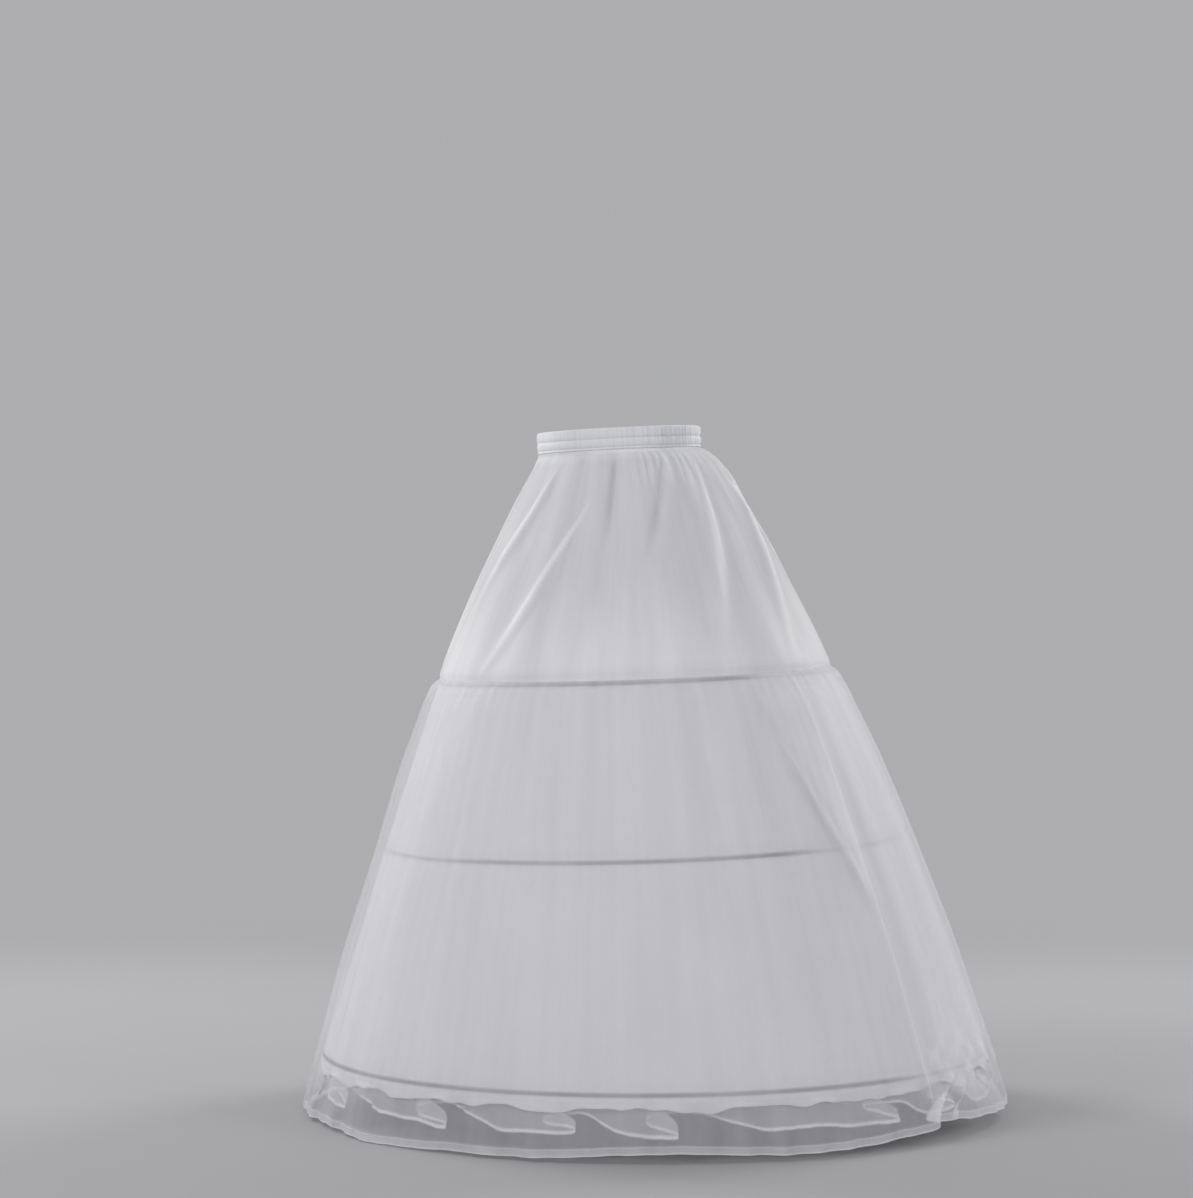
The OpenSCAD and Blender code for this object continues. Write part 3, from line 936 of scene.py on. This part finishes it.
# A second, lower fold lies a little further round
NEXT_AFTER, NEXT_TWIST, NEXT_LIFT = 6.0, 0.6, 9.0


def twist_wave(angle, half):
    """Cloth drawn from both sides towards an angle of 0."""
    return np.sin(np.pi * np.clip(angle / half, -1, 1))


def hem_bunch(turn, level):
    """Twist and lift of the cloth that the side seam draws together at the hem."""
    above = OVER_LENGTH - level
    share = ramp(above, BUNCH_REACH, 5)
    angle = apart(turn, SEAM_TURN - 1.0 + BUNCH_SLANT * ramp(above, 0, BUNCH_REACH))
    twist = twist_wave(angle, BUNCH_HALF) + NEXT_TWIST * twist_wave(angle - NEXT_AFTER, 0.8 * BUNCH_HALF)
    lift = BUNCH_LIFT * crest(angle, 0.6, 2.4) + NEXT_LIFT * crest(angle, NEXT_AFTER, 3.4)
    return share * twist, share * lift


print("bunch lifts the hem by up to", round(hem_bunch(round_turns(720), OVER_LENGTH)[1].max(), 1), "mm")

# %% Overskirt shape
FLUTE_DEPTH = 9.0
PUFF_DEPTH, CRUMPLE_DEPTH, SEAM_RIDGE, DRAG_RIDGE = 1.5, 1.3, 1.6, 3.0
HEM_RISE, HEM_SWAY = 3.0, 4.0
TWIST_TURN, TWIST_IN = 0.66 * BUNCH_HALF, 6.5
OVER_RIPPLES = [
    (1.6, 20, 240, 30, 0.0004, 33),
    (0.2, 10, 200, 110, 0.0006, 34),
    (1.8, OVER_LENGTH - 60, OVER_LENGTH, 60, 0.008, 35),
    (0.4, OVER_LENGTH - 60, OVER_LENGTH, 220, 0.03, 36),
]


def top_puff(turn, level):
    """The small gathers below the overskirt's seam, fuller at the sides and the back."""
    fullness = 0.35 + 0.65 * ramp(np.abs(apart(turn, -38.0)), 40, 75)
    fade = ramp(level, 2, 12) * ramp(level, 60, 14)
    return fullness * fade * (0.3 + ripple(turn, level, 90, 0.0005, 31))


def overskirt_shape(turn, level):
    """The overskirt's rings, turns, steps out and steps up."""
    flutes = 0.6 * outward_wave(9 * turn + 20) + 0.4 * outward_wave(14 * turn + 75)
    out = np.interp(level, over_at, over_shares) * FLUTE_DEPTH * flutes
    out += PUFF_DEPTH * top_puff(turn, level) + ripples(turn, level, OVER_RIPPLES)
    out += CRUMPLE_DEPTH * side_crumple(turn, level) * crumples(turn, level)
    out += SEAM_RIDGE * ridge(turn, SEAM_TURN, 1.2) * ramp(level, 10, 60)
    out += DRAG_RIDGE * drag_share(level) * ridge(turn, drag_turn(level), 1.1)
    twist, up = hem_bunch(turn, level)
    sway = HEM_RISE + HEM_SWAY * ripple(turn, level, 8, 0.0, 38)
    up += ramp(OVER_LENGTH - level, 120, 0) * sway
    return eased_rings(level), turn - TWIST_TURN * twist, out - TWIST_IN * twist, up


fine_from = OVER_LENGTH - 140
over_levels = np.hstack([
    np.linspace(0, 30, 14), np.linspace(30, fine_from, 44)[1:],
    np.linspace(fine_from, OVER_LENGTH - 3, 40)[1:], OVER_LENGTH - np.array([1.7, 0.7, 0.0]),
    OVER_LENGTH + np.array([0.8, 3.0, 5.5, 8.0, HEM_TURN]),
])
overskirt, turn, level = rolled_cloth("overskirt_organza", over_levels, 900, 3.0)
turned = level > OVER_LENGTH
folded = np.where(turned, 2 * OVER_LENGTH - level, level)
rings, moved_turn, out, up = overskirt_shape(turn, folded)
out -= np.where(turned, 1.1 * ramp(level, OVER_LENGTH, OVER_LENGTH + 3), 0.0)
move_to_rings(overskirt, rings, moved_turn, out, up)
print("overskirt's rows:", len(over_levels), "of which turned up:", int((over_levels > OVER_LENGTH).sum()))

# %% Creases of the overskirt
seam_line = ridge(turn, SEAM_TURN, 0.4) * (0.2 + 0.8 * ramp(folded, 20, 190))
drag = drag_turn(folded)
above = OVER_LENGTH - folded
# Past the drag fold the cloth is fuller, and folds lie over each other
past = ramp(turn, drag, drag + 5) * ramp(turn, 75, 40) * ramp(folded, 6, 50)
haze = past * (1 - 0.75 * ramp(above, 110, 60)) * (0.8 + 0.2 * ripple(turn, folded, 40, 0.0005, 39))
behind_drag = ramp(turn, drag, drag + 0.8) * ramp(turn, SEAM_TURN, SEAM_TURN - 0.8)
crushed = side_crumple(turn, folded) * np.clip(1.3 * crumples(turn, folded) - 0.2, 0, 1)
crease = 0.42 * seam_line
crease += drag_share(folded) * (0.7 * ridge(turn, drag, 0.5) + 0.55 * behind_drag)
crease += 0.45 * haze + 0.3 * crushed + 0.2 * ramp(folded, 11, 3)
crease += 0.1 * ramp(above, HEM_TURN + 1, HEM_TURN) + 0.8 * ramp(above, 2.4, 0.7)
mark(overskirt, "crease", np.clip(crease, 0, 1))
dress(overskirt, OVERSKIRT_ORGANZA, ["overskirt"])

# %% Hem stitches
HEM_STITCHES = 900
HEM_ROW = OVER_LENGTH - HEM_TURN + 1.5
rings, moved_turn, out, up = overskirt_shape(round_turns(HEM_STITCHES), np.full(HEM_STITCHES, HEM_ROW))
hem_stitches = sewn_rows("hem_stitches", [ring_points(rings, moved_turn, out + THREAD_OUT, up)])
dress(hem_stitches, THREAD, [])

# %% [markdown]
# ## Hem ruffle
# Under the lining's edge a strip of organza is sewn on in pleats. Worn and packed flat, the pleats
# have slumped: each one folds back on itself and its hem rides up at the fold. A sine wave can't
# fold back, so the strip follows a drawn curve instead: as it runs on, its turn goes forwards, back
# and forwards again, while it steps inwards and up. Every pleat has its own size, drawn from a seeded
# generator. The strip's own hem is turned up, as the overskirt's is, and marked, so that it shows as a
# bright line through the overskirt.

# %% Pleats
# Turns of the pleats' outer corners that show in front; the rest are drawn at random
FRONT_CORNERS = [-95.0, -68.2, -45.6, -29.7, 9.0, 24.0]
CORNER_STEP = (13, 26)
FOLD_BACK, MOST_BACK = (4.6, 7.2), 0.45
DEPTHS, RISES = (0.85, 1.15), (0.8, 1.1)
# One pleat: share of the strip, share of the face, share of the fold back, step in, step up
PLEAT_CURVE = np.array([
    (0.00, 0.00, 0, 14, 29), (0.10, 0.11, 0, 13, 27), (0.18, 0.22, 0, 11, 20), (0.27, 0.36, 0, 7, 8),
    (0.34, 0.46, 0, 4.5, 3), (0.46, 0.69, 0, 2.5, 1.5), (0.57, 0.93, 0, 1, 0), (0.62, 1, 0, 0.5, 1),
    (0.65, 1, 0.08, 3, 6), (0.72, 1, 0.55, 7, 11), (0.78, 1, 0.95, 10, 14), (0.83, 1, 1.06, 13, 20),
    (0.90, 1, 0.70, 17, 27),
])

pleat_draw = random.Random(29)
corners = list(FRONT_CORNERS)
last_corner = FRONT_CORNERS[0] + 360
while corners[-1] < last_corner - CORNER_STEP[1]:
    corners.append(corners[-1] + pleat_draw.uniform(*CORNER_STEP))
corners.append(last_corner)
pleats = []
for start, end in zip(corners, corners[1:]):
    back = min(pleat_draw.uniform(*FOLD_BACK), MOST_BACK * (end - start))
    deep = pleat_draw.uniform(*DEPTHS)
    high = pleat_draw.uniform(*RISES)
    along, face, folded_back, step_in, step_up = PLEAT_CURVE.T
    at = start + along * (end - start)
    moved = start + face * (end - start) - folded_back * back
    pleats.append([at, moved - at, step_in * deep, step_up * high])
pleat_at, pleat_turns, pleat_ins, pleat_ups = np.hstack(pleats)
print("pleats:", len(pleats))

# %% Ruffle cloth
RUFFLE_HEIGHT = 46.0
RUFFLE_TURN = 4.6
CURVE_STEP, SOFT_STEPS, WRAP_STEPS = 0.05, 25, 40
TOP_FOLD = 0.5
PLEAT_BULGE = 0.22
RUFFLE_CRUMPLE = [
    (2.0, 0.1 * RUFFLE_HEIGHT, 0.8 * RUFFLE_HEIGHT, 60, 0.01, 41),
    (1.2, 0.1 * RUFFLE_HEIGHT, 0.8 * RUFFLE_HEIGHT, 200, 0.02, 42),
]
RUFFLE_WAVES = [
    (3.4, 0.2 * RUFFLE_HEIGHT, RUFFLE_HEIGHT, 26, 0.0, 44),
    (1.2, 0.2 * RUFFLE_HEIGHT, RUFFLE_HEIGHT, 70, 0.0, 45),
]


def along_strip(turn, values):
    """The drawn curve at each turn of the strip, smoothed and closed on itself."""
    grid = np.arange(0, 360, CURVE_STEP)
    drawn = np.interp(grid, pleat_at % 360, values, period=360)
    kernel = np.hanning(SOFT_STEPS) / np.hanning(SOFT_STEPS).sum()
    closed = np.hstack([drawn[-WRAP_STEPS:], drawn, drawn[:WRAP_STEPS]])
    soft = np.convolve(closed, kernel, mode="same")[WRAP_STEPS:-WRAP_STEPS]
    return np.interp(turn % 360, grid, soft, period=360)


ruffle_levels = np.hstack([
    np.linspace(0, RUFFLE_HEIGHT, 20), RUFFLE_HEIGHT + np.array([0.7, 2.0, 3.4, RUFFLE_TURN]),
])
ruffle, place, level = rolled_cloth("hem_ruffle_organza", ruffle_levels, 1500, 4.2)
turned = level > RUFFLE_HEIGHT
folded = np.where(turned, 2 * RUFFLE_HEIGHT - level, level)
down = folded / RUFFLE_HEIGHT
turn = place + along_strip(place, pleat_turns) * (TOP_FOLD + (1 - TOP_FOLD) * ramp(down, 0, 0.7))
step_in = along_strip(place, pleat_ins) * (0.06 + 0.94 * ramp(down, 0, 0.8)) + 4.0 * ramp(down, 0.0, 0.35)
step_up = along_strip(place, pleat_ups) * ramp(down, 0.1, 1.0)
out = ripples(place, folded, RUFFLE_CRUMPLE) - step_in + PLEAT_BULGE * step_up * bulge(down, 0, 1)
out -= np.where(turned, 0.9 * ramp(level, RUFFLE_HEIGHT, RUFFLE_HEIGHT + 2), 0.0)
up = step_up + ripples(place, folded, RUFFLE_WAVES)
knots = [(d, slope_ring(2, 0.2, -CASING_HALF - 0.4 - d)) for d in np.linspace(0, RUFFLE_HEIGHT, 5)]
move_to_rings(ruffle, rings_at(knots, folded), turn, out, up)

# %% Ruffle finish
RUFFLE_ORGANZA = organza_finish("ruffle_organza", veil=0.29, crease_gain=0.62)
turned_edge = RUFFLE_HEIGHT - RUFFLE_TURN
mark(ruffle, "crease", 0.85 * ramp(folded, turned_edge - 0.6, turned_edge))
dress(ruffle, RUFFLE_ORGANZA, ["hem_ruffle"])

# %% [markdown]
# ## Steel, tube and elastic
# The strips, their joining tubes and the elastic keep their CAD shapes, which are already true, and
# only need a finish. The strip is rolled spring steel with fine scratches along it. The tube is pale
# plastic with a little gloss, and the elastic is ribbed where its rubber threads run. These pieces
# have no UV map, so their patterns are read from where a point lies in the object.

# %% Finishes for the CAD pieces
STEEL, shader, wire = new_finish("hoop_strip", Metallic=1.0, Specular_IOR_Level=0.5)
drawn_out = wire.node("ShaderNodeMapping", inputs={0: object_place(wire), 3: (90.0, 90.0, 1400.0)})
scratch = noise(drawn_out, scale=1.0, detail=4.0)
tint(shader, scratch, (0.30, 0.30, 0.33), (0.56, 0.56, 0.59))
(0.28 + scratch * 0.22).into(shader, "Roughness")

TUBE, shader, wire = new_finish("sleeve_plastic", Specular_IOR_Level=0.5, Coat_Weight=0.15)
scuff = noise(object_place(wire), scale=160.0, detail=4.0)
tint(shader, scuff, (0.72, 0.72, 0.74), (0.86, 0.86, 0.88))
(0.22 + scuff * 0.2).into(shader, "Roughness")

ELASTIC, shader, wire = new_finish("elastic", Roughness=0.75, Sheen_Weight=0.2)
place = object_place(wire)
height = wire.node("ShaderNodeSeparateXYZ", inputs={0: place}, output=2)
rib = ribs(height, pitch=0.0016)
fuzz = noise(place, scale=900.0, detail=2.0)
tint(shader, rib * 0.7 + fuzz * 0.3, (0.72, 0.72, 0.70), (0.90, 0.90, 0.88))
bump(shader, rib, 0.0003)

cad_finish = {"hoop": STEEL, "sleeve": TUBE, "elastic": ELASTIC}
for name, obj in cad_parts.items():
    for kind, material in cad_finish.items():
        if name.endswith(kind):
            obj.data.materials.clear()
            obj.data.materials.append(material)
print("CAD finishes:", list(cad_finish))

# %% [markdown]
# ## Floor, light and camera
# The petticoat stands on a plain pale floor with its hem just touching it. The floor keeps the shadow
# and fades into the backdrop's colour further off, so no horizon shows. White cloth needs soft light
# from one side to show its folds: a wide key lamp stands to the left of the camera and a weaker fill
# to the right. Two lamps behind shine through the sheer edges and brighten them, and the world fills
# the rest. The camera looks from the wearer's left front, nearly level, from far off.

# %% Floor
FLOOR_GAP = 0.001
BACKDROP = (0.42, 0.42, 0.43)
FADE_FROM, FADE_TO = 1.2, 3.4

bm = bmesh.new()
bmesh.ops.create_circle(bm, cap_ends=True, radius=60.0, segments=96)
bmesh.ops.translate(bm, verts=bm.verts, vec=(0, 0, cad_box[0][2] - FLOOR_GAP))
floor = new_object("floor", bm)


def seen_directly(wire):
    """1 for rays from the camera and for what gloss or glass shows of it, and 0 for light."""
    camera_ray = wire.node("ShaderNodeLightPath", output="Is Camera Ray")
    glossy, through = camera_ray.beside("Is Glossy Ray"), camera_ray.beside("Is Transmission Ray")
    return camera_ray.larger(glossy.larger(through))


floor_finish, floor_shader, wire = new_finish("floor", Roughness=0.9, Specular_IOR_Level=0.1)
place = object_place(wire)
grain = wire.node("ShaderNodeTexNoise", inputs={"Vector": place, "Scale": 3.0})
tint(floor_shader, grain, (0.40, 0.40, 0.41), (0.415, 0.415, 0.425))
distance = wire.node("ShaderNodeVectorMath", {"operation": "LENGTH"}, {0: place}, output="Value")
far = wire.node(
    "ShaderNodeMapRange", {"interpolation_type": "SMOOTHSTEP"}, {0: distance, 1: FADE_FROM, 2: FADE_TO},
)
plain = wire.node("ShaderNodeEmission", inputs={"Color": (*BACKDROP, 1.0), "Strength": 1.0})
near = Wire(wire.tree, floor_shader.outputs[0])
faded = wire.node("ShaderNodeMixShader", inputs={0: far * seen_directly(wire), 1: near, 2: plain})
faded.into(floor_finish.node_tree.nodes["Material Output"], "Surface")
floor.data.materials.append(floor_finish)
print("floor at", round(cad_box[0][2] - FLOOR_GAP, 4), "m")

# %% Light
world = bpy.data.worlds.new("studio")
scene.world = world
world.use_nodes = True
sky = Wire(world.node_tree)
lit = sky.node("ShaderNodeBackground", inputs={"Color": (0.97, 0.97, 1.0, 1.0), "Strength": 0.38})
backdrop = sky.node("ShaderNodeBackground", inputs={"Color": (*BACKDROP, 1.0), "Strength": 1.0})
both = sky.node("ShaderNodeMixShader", inputs={0: seen_directly(sky), 1: lit, 2: backdrop})
both.into(world.node_tree.nodes["World Output"], "Surface")

VIEW_TURN = math.radians(57.0)
TOWARD = Vector((math.sin(VIEW_TURN), -math.cos(VIEW_TURN), 0))
ASIDE = Vector((math.cos(VIEW_TURN), math.sin(VIEW_TURN), 0))
UP = Vector((0, 0, 1))
MIDDLE = Vector((0, 0.04, -0.45))
# Each lamp: metres towards the camera, to its right and up from the middle, size, power
LAMPS = {
    "key": (2.2, -2.6, 1.9, 1.8, 54),
    "fill": (2.4, 2.8, 0.9, 2.0, 34),
    "back_left": (-2.0, -2.2, 1.6, 1.6, 50),
    "back_right": (-2.0, 2.2, 1.6, 1.6, 50),
}


def aimed(obj, place, aim):
    """Puts a lamp or camera at a place, turned to what it looks at."""
    obj.location = place
    obj.rotation_euler = (aim - place).to_track_quat("-Z", "Y").to_euler()
    scene.collection.objects.link(obj)


for name, (toward, aside, up, size, power) in LAMPS.items():
    lamp = bpy.data.lights.new(name, "AREA")
    lamp.shape, lamp.size, lamp.energy = "DISK", size, power
    aimed(bpy.data.objects.new(name, lamp), MIDDLE + TOWARD * toward + ASIDE * aside + UP * up, MIDDLE)
print("lamps:", list(LAMPS))

# %% Camera
PIXELS_PER_METRE = 708.0
IMAGE_WIDTH = 1193.0
SENSOR = 36.0
CAMERA_AWAY, CAMERA_UP = 4.52, -0.268
AIM_ASIDE, AIM_UP = -0.0297, -0.238

camera_data = bpy.data.cameras.new("camera")
camera_data.sensor_width = SENSOR
camera_data.lens = PIXELS_PER_METRE * CAMERA_AWAY / IMAGE_WIDTH * SENSOR
camera = bpy.data.objects.new("camera", camera_data)
aimed(camera, TOWARD * CAMERA_AWAY + UP * CAMERA_UP, ASIDE * AIM_ASIDE + UP * AIM_UP)
scene.camera = camera
print("lens:", round(camera_data.lens, 1))
